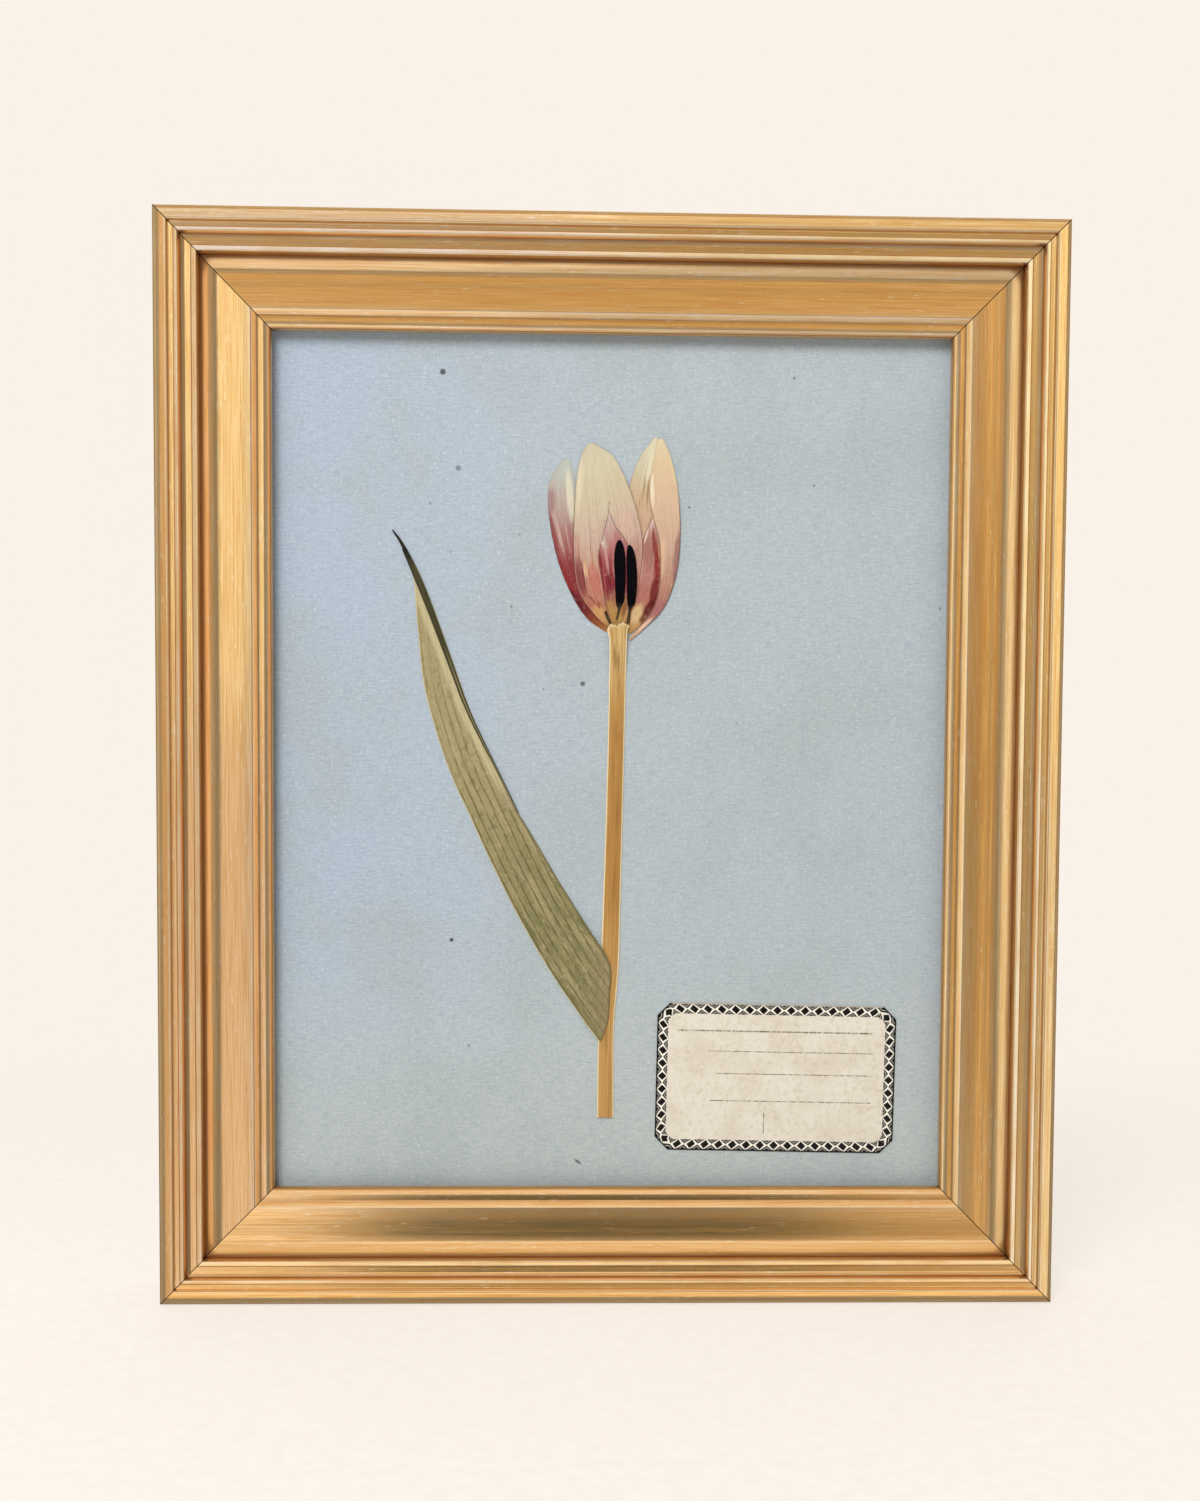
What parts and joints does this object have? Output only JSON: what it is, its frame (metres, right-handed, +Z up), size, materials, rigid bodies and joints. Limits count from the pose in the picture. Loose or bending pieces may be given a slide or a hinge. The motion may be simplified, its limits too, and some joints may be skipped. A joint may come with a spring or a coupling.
{
  "type": "pressed flower frame",
  "caption": "Pressed tulip with its stem, leaf and a bordered label on blue-grey paper, under glass in a stepped gilt picture frame that hangs on a wall.",
  "frame": {"origin": "middle notch of the hanger on the back of the top rail, level with the backs of the rails", "axes": "+Z up as it hangs, +Y from the front towards the wall, +X to the viewer's right"},
  "size_m": [0.2494, 0.0286, 0.3001],
  "materials": {
    "gilt": "gilded wood, worn satin",
    "glass": "clear, smooth",
    "mount_paper": "matt wove paper",
    "backing_board": "matt grey board",
    "steel": "dull zinc plate",
    "label": "matt card with a printed border",
    "stem": "dry, fibrous",
    "leaf": "dry, with lengthwise veins",
    "petal_rose": "dry, streaked",
    "petal_cream": "dry, faintly veined",
    "petal_peach": "dry, faintly veined",
    "anther": "matt, dry",
    "filament": "matt, dry"
  },
  "bodies": {
    "root": {"rail_left": "gilt", "rail_top": "gilt", "rail_right": "gilt", "rail_bottom": "gilt", "glass": "glass", "mount_paper": "mount_paper", "backing_board": "backing_board", "point_1": "steel", "point_2": "steel", "point_3": "steel", "point_4": "steel", "point_5": "steel", "point_6": "steel", "point_7": "steel", "point_8": "steel", "hanger": "steel", "hanger_nail_left": "steel", "hanger_nail_right": "steel", "label": "label", "stem": "stem", "leaf": "leaf", "petal_left": "petal_rose", "petal_inner_left": "petal_rose", "petal_inner_right": "petal_rose", "petal_centre": "petal_cream", "petal_back_right": "petal_peach", "petal_right": "petal_peach", "stamen_left": "anther", "stamen_right": "anther", "stamen_side": "filament"}
  },
  "joints": []
}
